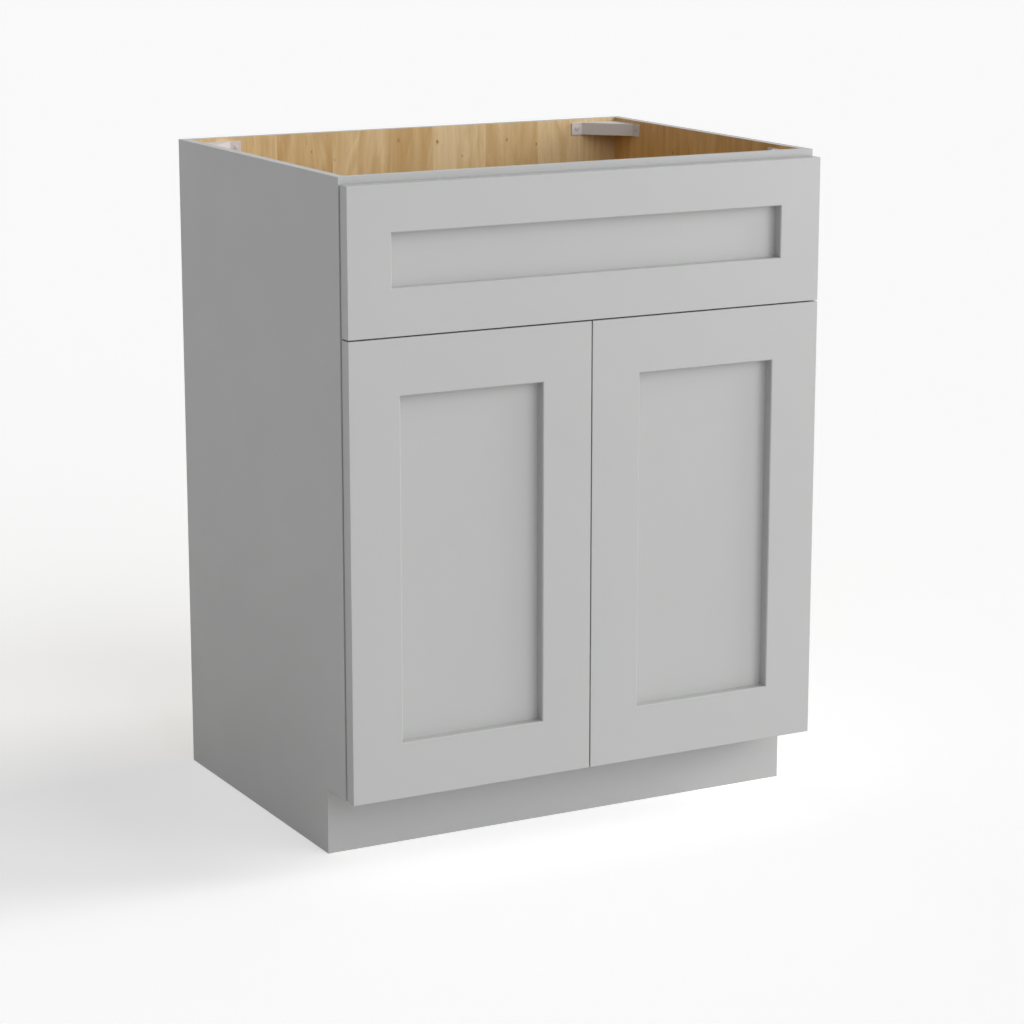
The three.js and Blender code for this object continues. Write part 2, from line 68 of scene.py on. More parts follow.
# %% Camera
CAMERA_PLACE = (-1.885, -3.5615, 1.298)  # metres
CAMERA_TURN = 28.22  # degrees to the right
CAMERA_TILT = 12.89  # degrees down
CAMERA_LENS = 106.5  # millimetres
CAMERA_REACH = 200  # metres, past the end of the floor

camera = bpy.data.objects.new("camera", bpy.data.cameras.new("camera"))
scene.collection.objects.link(camera)
camera.location = CAMERA_PLACE
camera.rotation_euler = (math.radians(90 - CAMERA_TILT), 0, math.radians(-CAMERA_TURN))
camera.data.lens = CAMERA_LENS
camera.data.clip_end = CAMERA_REACH
scene.camera = camera
scene.view_settings.view_transform = "Standard"
print("camera looks", CAMERA_TURN, "degrees to the right and", CAMERA_TILT, "down")

# %% [markdown]
# ## Nodes in short form
# Every finish below is a small graph of shader nodes. Placing each node by hand would fill
# pages, so a helper makes one node, fills its plain sockets and links the rest.

# %% One node
def open_tree(datablock):
    """Gives a material or a world an empty node tree."""
    datablock.use_nodes = True
    datablock.node_tree.nodes.clear()
    return datablock.node_tree


def new_finish(name):
    """A new material and its empty node tree."""
    material = bpy.data.materials.new(name)
    return material, open_tree(material)


def node(tree, kind, values=None, **settings):
    """Makes one node. A value that is a socket is linked, and any other is set."""
    made = tree.nodes.new(kind)
    for name, setting in settings.items():
        setattr(made, name, setting)
    for key, value in (values or {}).items():
        socket = made.inputs[key]
        if isinstance(value, bpy.types.NodeSocket):
            tree.links.new(value, socket)
        else:
            socket.default_value = value
    return made


print("node helpers ready, materials so far:", len(bpy.data.materials))

# %% [markdown]
# ## Sums, blends and ramps
# Most nodes of a finish add, blend or limit levels, so each such step gets a name of its own. The
# Mix node holds number and colour sockets side by side. A name would fit several of them, so its
# sockets are picked by their number.

# %% Sums, blends and ramps
def math_node(tree, operation, first, second=0.0):
    return node(tree, "ShaderNodeMath", {0: first, 1: second}, operation=operation).outputs[0]


def vector_node(tree, operation, first, second):
    return node(tree, "ShaderNodeVectorMath", {0: first, 1: second}, operation=operation).outputs


def join(tree, x, y=0.0, z=0.0):
    return node(tree, "ShaderNodeCombineXYZ", {0: x, 1: y, 2: z}).outputs[0]


def split(tree, vector):
    return node(tree, "ShaderNodeSeparateXYZ", {0: vector}).outputs


def blend_color(tree, factor, first, second, mode="MIX"):
    return node(tree, "ShaderNodeMix", {0: factor, 6: first, 7: second},
                data_type="RGBA", blend_type=mode, clamp_factor=True).outputs[2]


def blend_value(tree, factor, first, second):
    return node(tree, "ShaderNodeMix", {0: factor, 2: first, 3: second},
                data_type="FLOAT", clamp_factor=True).outputs[0]


def scaled_sum(tree, *terms):
    """Adds pairs of a socket and its factor."""
    total = 0.0
    for socket, factor in terms:
        total = math_node(tree, "ADD", math_node(tree, "MULTIPLY", socket, factor), total)
    return total


def ramp(tree, factor, *stops):
    """A colour ramp. Each stop is a place from 0 to 1 and a grey level or a colour."""
    made = node(tree, "ShaderNodeValToRGB", {"Fac": factor})
    elements = made.color_ramp.elements
    while len(elements) < len(stops):
        elements.new(1.0)
    for element, (place, color) in zip(elements, stops):
        element.position = place
        element.color = color if isinstance(color, tuple) else (color, color, color, 1)
    return made.outputs["Color"]


print("short forms ready: sums, blends and ramps")

# %% [markdown]
# ## Places and noise
# A texture can be laid on by an unwrapped mesh or by the place of each point in its piece. Boards
# are plain boxes, so the place does it without unwrapping, and it stays with a door that swings.

# %% Places and noise
def object_place(tree):
    """The place of a point in its own piece, in metres."""
    return node(tree, "ShaderNodeTexCoord").outputs["Object"]


def noise(tree, vector, scale=1.0, detail=2.0, roughness=0.5, distortion=0.0):
    values = {"Vector": vector, "Scale": scale, "Detail": detail, "Roughness": roughness,
              "Distortion": distortion}
    return node(tree, "ShaderNodeTexNoise", values).outputs["Fac"]


def stretched(tree, along, across_scale, along_scale):
    """The place in the piece, stretched along one axis."""
    scale = [across_scale] * 3
    scale[along] = along_scale
    values = {"Vector": object_place(tree), "Scale": scale}
    return node(tree, "ShaderNodeMapping", values).outputs[0]


# %% [markdown]
# ## Colours as they are read
# A picture program shows a colour as three levels from 0 to 255, while a shader counts light.
# The two are tied by the sRGB curve, so colours are written as they're read and converted here.

# %% Colours
def shade(level):
    """The linear value of a level from 0 to 255, by the sRGB curve."""
    part = level / 255
    return part / 12.92 if part <= 0.04045 else ((part + 0.055) / 1.055) ** 2.4


def rgb(levels, step=0):
    """A colour for a socket. Each of its levels can be moved by a step first."""
    return (*(shade(level + step) for level in levels), 1.0)


print("mid grey is", round(shade(188), 3))

# %% [markdown]
# ## One white sheet
# In a catalogue picture the floor and the wall are one white sheet, and only a soft shadow tells
# where the floor is. One large plane does this. For what the camera sees it is part emission and
# part diffuse: the emission lifts it to white, and the diffuse part keeps the shadow. Light that
# bounces from the floor to the cabinet only meets the diffuse part. A light path node tells the
# two apart.

# %% Levels of the white sheet
WHITE_LEVEL = 251
FLOOR_ALBEDO = 0.80  # for light that bounces
FLOOR_SEEN_ALBEDO = 0.86  # for the camera
FLOOR_GLOW = 0.323  # emission of open floor, seen by the camera
SKY_STRENGTH = 0.37  # for light that falls on the cabinet


def seen_directly(tree):
    """1 for rays from the camera, in a reflection, or through glass."""
    path = node(tree, "ShaderNodeLightPath").outputs
    mirror = math_node(tree, "MAXIMUM", path["Is Glossy Ray"], path["Is Transmission Ray"])
    return math_node(tree, "MAXIMUM", path["Is Camera Ray"], mirror)


print("the background is white at level", WHITE_LEVEL)

# %% [markdown]
# ## The side lamp's pool
# A lamp on the right stands near and lays a bright pool on the floor, which would show as a
# patch. It could be hidden from the floor by light linking, but then its shadow would go too. How
# bright the pool is follows from the lamp's place, so the emission is made weaker by just as much.

# %% Pool of the side lamp
SIDE_POWER = 9  # watts
SIDE_SIZE = 1.0  # metres
SIDE_FROM = (1.7, -1.7, 0.9)
LAMP_TARGET = (0, 0, 0.45)


def side_lamp_pool(tree):
    """How bright the side lamp makes open floor, by the way to it and its slant."""
    way = vector_node(tree, "SUBTRACT", object_place(tree), SIDE_FROM)["Vector"]
    aim = (Vector(LAMP_TARGET) - Vector(SIDE_FROM)).normalized()
    ahead = vector_node(tree, "DOT_PRODUCT", way, aim)["Value"]
    squared = vector_node(tree, "DOT_PRODUCT", way, way)["Value"]
    falloff = math_node(tree, "DIVIDE", ahead, math_node(tree, "MULTIPLY", squared, squared))
    strength = FLOOR_SEEN_ALBEDO * SIDE_POWER * SIDE_FROM[Z] / math.pi ** 2
    return math_node(tree, "MAXIMUM", math_node(tree, "MULTIPLY", falloff, strength), 0.0)


print("the side lamp stands", round(Vector(SIDE_FROM).length, 2), "m away")

# %% [markdown]
# ## The floor
# Close to the foot of a cabinet a real floor also loses some of the sky, in a grey rim that such
# pictures don't have. An ambient occlusion node measures that loss, and the emission gives most
# of it back, so that only the lamps' shadows stay. Seen from below the floor is clear, so that the
# underside of the cabinet can be looked at too.

# %% Floor
FLOOR_HALF = 60.0  # metres
SHADE_REACH = 0.2  # metres
SHADE_RETURNED = 0.7  # share of the lost sky that the emission gives back
SHADE_SAMPLES = 8
SQUARE = ((-1, -1), (1, -1), (1, 1), (-1, 1))


def floor_glow(tree, seen):
    """Strength of the floor's emission."""
    open_sky = node(tree, "ShaderNodeAmbientOcclusion", {"Distance": SHADE_REACH},
                    samples=SHADE_SAMPLES).outputs["AO"]
    returned = FLOOR_SEEN_ALBEDO * SKY_STRENGTH * SHADE_RETURNED
    lift = math_node(tree, "SUBTRACT", FLOOR_GLOW + returned, side_lamp_pool(tree))
    lift = math_node(tree, "SUBTRACT", lift, math_node(tree, "MULTIPLY", open_sky, returned))
    return math_node(tree, "MULTIPLY", seen, lift)


def floor_finish():
    material, tree = new_finish("studio_floor")
    seen = seen_directly(tree)
    albedo = blend_value(tree, seen, FLOOR_ALBEDO, FLOOR_SEEN_ALBEDO)
    paper = node(tree, "ShaderNodeBsdfDiffuse", {"Color": albedo})
    glow = node(tree, "ShaderNodeEmission", {"Strength": floor_glow(tree, seen)})
    lit = node(tree, "ShaderNodeAddShader", {0: paper.outputs[0], 1: glow.outputs[0]})
    clear = node(tree, "ShaderNodeBsdfTransparent")
    below = node(tree, "ShaderNodeNewGeometry").outputs["Backfacing"]
    both = node(tree, "ShaderNodeMixShader", {0: below, 1: lit.outputs[0], 2: clear.outputs[0]})
    node(tree, "ShaderNodeOutputMaterial", {"Surface": both.outputs[0]})
    return material


def make_floor():
    mesh = bpy.data.meshes.new("studio_floor")
    points = [(x * FLOOR_HALF, y * FLOOR_HALF, 0) for x, y in SQUARE]
    mesh.from_pydata(points, [], [(0, 1, 2, 3)])
    mesh.materials.append(floor_finish())
    floor = bpy.data.objects.new("studio_floor", mesh)
    scene.collection.objects.link(floor)


make_floor()
print("floor reaches", FLOOR_HALF, "m each way")

# %% [markdown]
# ## Studio light
# The picture has a big soft key lamp low on the right. It drops a wide soft shadow to the left
# and leaves the left side of the cabinet in a plain half shade. A broader lamp in front, as low
# as the first, lights the doors. Near area lamps could do both, but each would leave a pool on
# the floor. So both are sun lamps with a wide disc, which light the floor evenly all over. The
# third, nearer lamp on the right makes the doors a little brighter towards that side, and the
# world fills the shade.

# %% Lights
SUN_AWAY = 5  # metres; a sun lamp shines the same from anywhere
KEY_STRENGTH = 1.62
KEY_DISC = 26  # degrees
KEY_FROM = (0.90, -0.16, 0.40)
FRONT_STRENGTH = 1.21
FRONT_DISC = 60
FRONT_FROM = (0.30, -0.87, 0.40)


def make_sky():
    world = bpy.data.worlds.new("studio_sky")
    tree = open_tree(world)
    strength = blend_value(tree, seen_directly(tree), SKY_STRENGTH, shade(WHITE_LEVEL))
    sky = node(tree, "ShaderNodeBackground", {"Color": (1, 1, 1, 1), "Strength": strength})
    node(tree, "ShaderNodeOutputWorld", {"Surface": sky.outputs[0]})
    scene.world = world


def make_lamp(name, kind, strength, place, target):
    lamp = bpy.data.objects.new(name, bpy.data.lights.new(name, kind))
    scene.collection.objects.link(lamp)
    lamp.location = place
    lamp.rotation_euler = (Vector(target) - Vector(place)).to_track_quat("-Z", "Y").to_euler()
    lamp.data.energy = strength
    return lamp.data


def make_sun(name, strength, disc, sun_from):
    sun = make_lamp(name, "SUN", strength, Vector(sun_from) * SUN_AWAY, target=(0, 0, 0))
    sun.angle = math.radians(disc)


make_sky()
make_sun("key_lamp", KEY_STRENGTH, KEY_DISC, KEY_FROM)
make_sun("front_lamp", FRONT_STRENGTH, FRONT_DISC, FRONT_FROM)
side = make_lamp("side_lamp", "AREA", SIDE_POWER, SIDE_FROM, LAMP_TARGET)
side.size = SIDE_SIZE
print("key lamp", KEY_STRENGTH, "front lamp", FRONT_STRENGTH, "side lamp", SIDE_POWER, "W")

# %% [markdown]
# ## Grey paint
# The doors, the false front and the box are sprayed with a satin grey lacquer over wood. Close up
# such a film is never quite flat: it has a fine stipple from the spray gun, the wood grain
# telegraphs through it as faint long lines, and its gloss drifts a little. The colour itself
# hardly changes. Painting these by hand would take an image for each board, so noise textures
# give all three. The grain noise is stretched along the board, upright on a stile and lengthwise
# on a rail, as the board was cut.

# %% Paint finish
PAINT = (181, 182, 181)
PAINT_DRIFT = 3  # levels
PAINT_CLOUD_SCALE = 2.6
PAINT_ROUGHNESS = 0.42
GLOSS_DRIFT = 0.08
GLOSS_CLOUD_SCALE = 14
STIPPLE_SCALE = 900
GRAIN_ACROSS = 420
GRAIN_ALONG = 9
GRAIN_SHARE = 0.45  # of the relief; the rest is stipple
BOARD_RELIEF = 0.05 * MM


def finish_surface(tree, color, roughness, height, relief, metallic=0.0):
    """One glossy shader for the whole piece, with its bump."""
    bump = node(tree, "ShaderNodeBump", {"Height": height, "Distance": relief, "Strength": 1.0})
    surface = node(tree, "ShaderNodeBsdfPrincipled", {
        "Base Color": color, "Roughness": roughness, "Metallic": metallic,
        "Normal": bump.outputs[0]})
    node(tree, "ShaderNodeOutputMaterial", {"Surface": surface.outputs[0]})


def paint_layers(tree, along):
    """Colour, roughness and height of the sprayed paint."""
    place = object_place(tree)
    cloud = noise(tree, place, scale=PAINT_CLOUD_SCALE, detail=3)
    color = blend_color(tree, cloud, rgb(PAINT, -PAINT_DRIFT), rgb(PAINT, PAINT_DRIFT))
    gloss = noise(tree, place, scale=GLOSS_CLOUD_SCALE, detail=4)
    roughness = blend_value(
        tree, gloss, PAINT_ROUGHNESS - GLOSS_DRIFT, PAINT_ROUGHNESS + GLOSS_DRIFT)
    stipple = noise(tree, place, scale=STIPPLE_SCALE, detail=1)
    along_board = stretched(tree, along, GRAIN_ACROSS, GRAIN_ALONG)
    grain = noise(tree, along_board, detail=3, roughness=0.6)
    return color, roughness, blend_value(tree, GRAIN_SHARE, stipple, grain)


def painted(name, along):
    material, tree = new_finish(name)
    finish_surface(tree, *paint_layers(tree, along), BOARD_RELIEF)
    return material


paint_upright = painted("grey_paint_upright", Z)
paint_level = painted("grey_paint_level", X)
print("paint level", PAINT, "roughness about", PAINT_ROUGHNESS)

# %% [markdown]
# ## Veneer leaves
# Inside, the box is faced with clear-coated birch. A veneer sheet is made of leaves, each sliced
# from a different place in the log and set edge to edge, so the panel has upright strips of
# slightly different honey tones. Each leaf could be a mesh of its own, but it is thinner than
# card, so only its tone shows. A one-dimensional cell texture gives each leaf a random tone.

# %% Veneer leaves
LEAF_WIDTH = 85 * MM
LEAF_UNEVEN = 0.7  # 0 would make all leaves equally wide


def board_coordinates(tree, across_axis, along_axis):
    """Places across and along the board."""
    place = split(tree, object_place(tree))
    return place[across_axis], place[along_axis]


def veneer_leaves(tree, across, seed):
    """The tone of each leaf, and how far a place lies from the middle of its leaf."""
    place = math_node(tree, "ADD", math_node(tree, "DIVIDE", across, LEAF_WIDTH), seed)
    values = {"W": place, "Scale": 1.0, "Randomness": LEAF_UNEVEN}
    leaf = node(tree, "ShaderNodeTexVoronoi", values,
                voronoi_dimensions="1D", feature="F1").outputs
    return split(tree, leaf["Color"])[0], math_node(tree, "SUBTRACT", place, leaf["W"])


print("veneer leaves about", round(LEAF_WIDTH / MM), "mm wide")

# %% [markdown]
# ## Veneer grain
# In each leaf run wide and fine grain streaks and short dark pores, and the year rings show as
# tall arches. One picture of wood would repeat from panel to panel. Noise that is stretched along
# the board never does, and each leaf's tone shifts the noise, so that the grain breaks off at the
# edge of a leaf as it really does.

# %% Veneer grain
WAVER_SCALE = 2.0
WAVER_DEPTH = 6 * MM  # how far a streak wanders from a straight line
LEAF_SHIFT = 37.0  # far enough that two leaves share no streak
# The scales of streaks and pores count noise cells in a metre.
WIDE_STREAKS = {"across_scale": 34, "along_scale": 5, "detail": 5, "distortion": 1.6}
FINE_STREAKS = {"across_scale": 300, "along_scale": 7, "detail": 3}
PORES = {"across_scale": 1100, "along_scale": 42, "detail": 2}
RING_SPREAD = 34  # radians, one leaf's width from its middle
RING_RISE = 9  # radians in each metre along the board
RING_WANDER = 7.0  # radians, by the wide streaks
RING_SHIFT = 20.0  # radians, by the leaf's tone
RING_STOPS = ((0.1, 0.0), (0.95, 0.28))


def grain_streaks(tree, board, leaf_tone, across_scale, along_scale, detail, distortion=0.0):
    """Noise that is stretched along the board and differs from leaf to leaf."""
    across, along = board
    vector = join(tree, math_node(tree, "MULTIPLY", across, across_scale),
                  math_node(tree, "MULTIPLY", leaf_tone, LEAF_SHIFT),
                  math_node(tree, "MULTIPLY", along, along_scale))
    return noise(tree, vector, detail=detail, roughness=0.6, distortion=distortion)


def ring_arches(tree, along, wide, leaf_tone, leaf_offset):
    """How dark the year rings are, as arches round the middle of each leaf."""
    bow = math_node(tree, "MULTIPLY", leaf_offset, leaf_offset)
    turns = scaled_sum(tree, (bow, RING_SPREAD), (along, RING_RISE), (wide, RING_WANDER),
                       (leaf_tone, RING_SHIFT))
    return ramp(tree, math_node(tree, "SINE", turns), *RING_STOPS)


print("pores are drawn out", round(PORES["across_scale"] / PORES["along_scale"]), "to 1")

# %% [markdown]
# ## Pin knots
# Birch has a few pin knots, small brown eyes where a twig grew. A two-dimensional cell texture
# drops them. Knots spread evenly over a panel would look peppered on, so some cells stay clear,
# each knot gets its own girth, and a wide noise keeps them to a few patches.

# %% Pin knots
KNOTS_ACROSS = 20.0  # cells in a metre
KNOTS_ALONG = 14.0
KNOT_FREE = 0.42  # share of the cells without a knot
KNOT_SHIFT = 6.4  # cells, picks where the knots fall
KNOT_PATCH_SCALE = 0.28
KNOT_PATCH_STOPS = ((0.42, 0.0), (0.48, 1.0))
KNOT_THIN = 0.35  # girth of the thinnest knot against the thickest
KNOT_STOPS = ((0.014, 0.9), (0.028, 0.55), (0.046, 0.16), (0.085, 0.0))


def pin_knots(tree, across, along, seed):
    """Nearly 1 in the heart of a knot, and 0 in clear wood."""
    rise = math_node(tree, "MULTIPLY", along, KNOTS_ALONG)
    place = join(tree, math_node(tree, "MULTIPLY", across, KNOTS_ACROSS),
                 math_node(tree, "ADD", rise, seed + KNOT_SHIFT))
    cells = node(tree, "ShaderNodeTexVoronoi", {"Vector": place, "Scale": 1.0},
                 voronoi_dimensions="2D", feature="F1").outputs
    lots = split(tree, cells["Color"])
    chosen = math_node(tree, "GREATER_THAN", lots[1], KNOT_FREE)
    patches = noise(tree, place, scale=KNOT_PATCH_SCALE, detail=1)
    knotty = ramp(tree, patches, *KNOT_PATCH_STOPS)
    girth = blend_value(tree, lots[2], KNOT_THIN, 1.0)
    core = ramp(tree, math_node(tree, "DIVIDE", cells["Distance"], girth), *KNOT_STOPS)
    return math_node(tree, "MULTIPLY", math_node(tree, "MULTIPLY", core, chosen), knotty)


print("a knot cell is", round(1 / KNOTS_ACROSS / MM), "by", round(1 / KNOTS_ALONG / MM), "mm")

# %% [markdown]
# ## Clear-coated birch
# The wood's own tone comes first. Rings, streaks, pores and knots are then laid over it as
# thin stains, each through its mask, just as they lie over each other in the wood. The pores are
# also a little sunk, because the clear coat doesn't fill them.

# %% Veneer finish
VENEER_LIGHT = (231, 207, 163)
VENEER_MIDDLE = (220, 192, 143)
VENEER_DARK = (200, 164, 108)
VENEER_PORE = (165, 122, 70)
KNOT = (138, 80, 20)
VENEER_STOPS = ((0.36, rgb(VENEER_LIGHT)), (0.50, rgb(VENEER_MIDDLE)), (0.68, rgb(VENEER_DARK)))
LEAF_CONTRAST = 0.21
STREAK_CONTRAST = 0.78
FINE_STOPS = ((0.35, 0.0), (0.72, 0.3))
PORE_STOPS = ((0.60, 0.0), (0.74, 0.35))
VENEER_ROUGHNESS = (0.33, 0.48)  # between the fine streaks and on them


def veneer_layers(tree, across_axis, along_axis, seed, painted_shade):
    """Colour, roughness and height of clear-coated birch veneer."""
    across, along = board_coordinates(tree, across_axis, along_axis)
    leaf_tone, leaf_offset = veneer_leaves(tree, across, seed)
    waver = noise(tree, join(tree, along, seed), scale=WAVER_SCALE)
    board = (scaled_sum(tree, (across, 1.0), (waver, WAVER_DEPTH)), along)
    wide, fine, pores = (grain_streaks(tree, board, leaf_tone, **kind)
                         for kind in (WIDE_STREAKS, FINE_STREAKS, PORES))

    tone = scaled_sum(tree, (leaf_tone, LEAF_CONTRAST), (wide, STREAK_CONTRAST))
    color = ramp(tree, tone, *VENEER_STOPS)
    pore_mask = ramp(tree, pores, *PORE_STOPS)
    stains = (
        (ring_arches(tree, along, wide, leaf_tone, leaf_offset), VENEER_DARK),
        (ramp(tree, fine, *FINE_STOPS), VENEER_DARK),
        (pore_mask, VENEER_PORE),
        (pin_knots(tree, across, along, seed), KNOT),
    )
    for mask, stain in stains:
        color = blend_color(tree, mask, color, rgb(stain))
    # Painted shade: for the side panels this multiply darkens and warms the veneer, standing in
    # for the shade and warm bounce inside the box.
    color = blend_color(tree, 1.0, color, (*painted_shade, 1.0), mode="MULTIPLY")
    roughness = blend_value(tree, fine, *VENEER_ROUGHNESS)
    return color, roughness, math_node(tree, "SUBTRACT", fine, pore_mask)


print("veneer from", VENEER_LIGHT, "to", VENEER_DARK)

# %% [markdown]
# ## Bare plies
# Where a plywood edge is neither painted nor faced, its thin plies show as light and dark
# stripes. They could be cut into the mesh, but a stripe that follows the place through the board
# looks the same and costs nothing. A little noise roughens it, as a saw does.

# %% Edge plies
PLY_THICKNESS = 1.6 * MM
PLY_LIGHT = (214, 184, 140)
PLY_DARK = (158, 120, 78)
PLY_STOPS = ((0.30, rgb(PLY_DARK)), (0.60, rgb(PLY_LIGHT)))
PLY_ROUGHNESS = 0.75
SAW_ACROSS = 500.0  # noise cells in a metre
SAW_ALONG = 160.0
SAW_WOBBLE = 0.4  # plies that a stripe strays
SAW_STAIN = 0.35


def ply_color(tree, through_axis, along_axis):
    """Colour of a sawn plywood edge, its plies stacked through the board."""
    through, along = board_coordinates(tree, through_axis, along_axis)
    ply = math_node(tree, "MULTIPLY", through, 1 / PLY_THICKNESS)
    saw_marks = join(tree, math_node(tree, "MULTIPLY", through, SAW_ACROSS),
                     math_node(tree, "MULTIPLY", along, SAW_ALONG))
    grain = noise(tree, saw_marks, detail=3)
    wobble = math_node(tree, "ADD", ply, math_node(tree, "MULTIPLY", grain, SAW_WOBBLE))
    band = ramp(tree, math_node(tree, "PINGPONG", wobble, 1.0), *PLY_STOPS)
    return blend_color(
        tree, math_node(tree, "MULTIPLY", grain, SAW_STAIN), band, rgb(PLY_DARK))


print("one ply is", PLY_THICKNESS / MM, "mm thick")

# %% [markdown]
# ## Panels with more than one finish
# A side panel is painted outside, shows clear veneer inside, and has its plies bare at the back
# and at the foot, where nobody sees them. One mesh can carry this in two ways: split its faces
# over several materials, or let one material choose by the direction that a face looks in. The
# mesh isn't touched here, so the material chooses.

# %% Mixed panels
LEFT, RIGHT = (X, -1), (X, 1)
FRONT, BACK = (Y, -1), (Y, 1)
DOWN, UP = (Z, -1), (Z, 1)
UNSHADED = (1.0, 1.0, 1.0)
SIDE_PAINTED_SHADE = (0.97, 0.80, 0.56)  # painted shade: the side panels' veneer is made darker and warmer, as shade and warm bounce inside the box make it look
FACING_LIMIT = 0.5  # cosine, so a face may be turned up to 60 degrees away


def facing(tree, axis, sign):
    """1 where a face looks along an axis of the piece, 0 elsewhere."""
    normal = node(tree, "ShaderNodeTexCoord").outputs["Normal"]
    part = math_node(tree, "MULTIPLY", split(tree, normal)[axis], sign)
    return math_node(tree, "GREATER_THAN", part, FACING_LIMIT)


def mixed_panel(name, veneer_faces, ply_faces, across, along, through, seed, painted_shade=UNSHADED):
    """Paint everywhere, but veneer and bare plies on the faces that look the given ways."""
    material, tree = new_finish(name)
    color, roughness, height = paint_layers(tree, along)
    wood_color, wood_roughness, wood_height = veneer_layers(tree, across, along, seed, painted_shade)
    for axis, sign in veneer_faces:
        there = facing(tree, axis, sign)
        color = blend_color(tree, there, color, wood_color)
        roughness = blend_value(tree, there, roughness, wood_roughness)
        height = blend_value(tree, there, height, wood_height)
    plies = ply_color(tree, through, along)
    for axis, sign in ply_faces:
        there = facing(tree, axis, sign)
        color = blend_color(tree, there, color, plies)
        roughness = blend_value(tree, there, roughness, PLY_ROUGHNESS)
    finish_surface(tree, color, roughness, height, BOARD_RELIEF)
    return material


# The axes run across, along and through the board. The seed picks its leaves, grain and knots.
box_finishes = {
    # The side panels' last argument is a painted shade, which darkens and warms their veneer.
    "side_panel_left": mixed_panel("side_left", [RIGHT], [BACK, DOWN], Y, Z, X, 3.1, SIDE_PAINTED_SHADE),
    "side_panel_right": mixed_panel("side_right", [LEFT], [BACK, DOWN], Y, Z, X, 8.7, SIDE_PAINTED_SHADE),
    "back_panel": mixed_panel("back", [FRONT, BACK], [DOWN], X, Z, Y, 17.4),
    "bottom_panel": mixed_panel("bottom", [UP], [BACK], Y, X, Z, 1.9),
    "toe_kick_board": mixed_panel("toe_board", [], [BACK, DOWN], Z, X, Y, 2.2),
    "top_front_rail": mixed_panel("top_rail", [BACK], [DOWN], Z, X, Y, 6.4),
    "mid_front_rail": mixed_panel("mid_rail", [BACK], [], Z, X, Y, 7.5),
}
print("mixed panels:", sorted(box_finishes))

# %% [markdown]
# ## Plastic and rubber
# The corner braces are moulded in a milky grey plastic with a fine mould texture. The small
# bumpers are soft clear rubber. It could be given a glass shader, but a rubber disc this small
# just reads as off-white on a painted board, so it is made like the plastic. The screws of the
# braces are lacquered to match them.

# %% Moulded finishes
MOULD_CLOUD_SCALE = 30
MOULD_MOTTLE = 4  # levels
MOULD_DULLING = 0.07  # how far the texture moves the roughness, down and up
MOULD_RELIEF = 0.04 * MM


def moulded(name, color, roughness, texture_scale):
    material, tree = new_finish(name)
    place = object_place(tree)
    cloud = noise(tree, place, scale=MOULD_CLOUD_SCALE, detail=3)
    tint = blend_color(tree, cloud, rgb(color, -MOULD_MOTTLE), rgb(color, MOULD_MOTTLE))
    texture = noise(tree, place, scale=texture_scale, detail=2)
    rough = blend_value(tree, texture, roughness - MOULD_DULLING, roughness + MOULD_DULLING)
    finish_surface(tree, tint, rough, texture, MOULD_RELIEF)
    return material


brace_plastic = moulded("brace_plastic", (214, 210, 211), roughness=0.45, texture_scale=700)
bumper_rubber = moulded("bumper_rubber", (214, 212, 206), roughness=0.55, texture_scale=1500)
screw_white = moulded("screw_white", (203, 200, 198), roughness=0.38, texture_scale=1100)
print("moulded:", [finish.name for finish in (brace_plastic, bumper_rubber, screw_white)])

# %% [markdown]
# ## Plated steel
# Hinges are nickel-plated pressed steel, with faint rolling lines. The other screws are zinc
# plated, a little duller and warmer. A plain mirror would look like chrome, so the lines also
# drive the roughness, and a cloudy tint keeps the plating from looking new.

# %% Plated finishes
PLATING_CLOUD_SCALE = 90
PLATING_TARNISH = 8  # levels
PLATING_SHINE, PLATING_DULL = 0.08, 0.12  # how far the lines move the roughness down and up
PLATING_RELIEF = 0.01 * MM
ROLLING_STRETCH = 12


def plated(name, color, roughness, line_scale):
    material, tree = new_finish(name)
    lines = noise(tree, stretched(tree, Z, line_scale, line_scale / ROLLING_STRETCH), detail=3)
    cloud = noise(tree, object_place(tree), scale=PLATING_CLOUD_SCALE, detail=3)
    tint = blend_color(tree, cloud, rgb(color, -PLATING_TARNISH), rgb(color))
    rough = blend_value(tree, lines, roughness - PLATING_SHINE, roughness + PLATING_DULL)
    finish_surface(tree, tint, rough, lines, PLATING_RELIEF, metallic=1.0)
    return material


hinge_nickel = plated("hinge_nickel", (226, 226, 228), roughness=0.38, line_scale=1400)
screw_zinc = plated("screw_zinc", (196, 192, 178), roughness=0.34, line_scale=1900)
print("plated:", [finish.name for finish in (hinge_nickel, screw_zinc)])

# %% [markdown]
# ## Dress the solids
# Each CAD solid keeps its shape and gets its finish by its name. Stiles stand upright and rails
# lie level, so the paint's grain turns with them.

# %% Assign the finishes
def finish_for(name):
    if name in box_finishes:
        return box_finishes[name]
    if "brace" in name:
        return brace_plastic
    if "bumper" in name:
        return bumper_rubber
    if "screw" in name:
        return screw_zinc
    if "hinge_top" in name or "hinge_bottom" in name:
        return hinge_nickel
    return paint_level if "rail" in name or name == "false_front_panel" else paint_upright


for name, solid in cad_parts.items():
    solid.data.materials.clear()
    solid.data.materials.append(finish_for(name))
print("dressed", len(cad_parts), "solids")

# %% [markdown]
# ## A round head
# The braces, the hinge cups and the mounting plates are each held by short wood screws with a
# rounded head. The head could be a squashed ball, but that has no flat rim under it. So half of
# its outline is spun round, as on a lathe.

# %% Spin a profile
SPIN_STEPS = 28


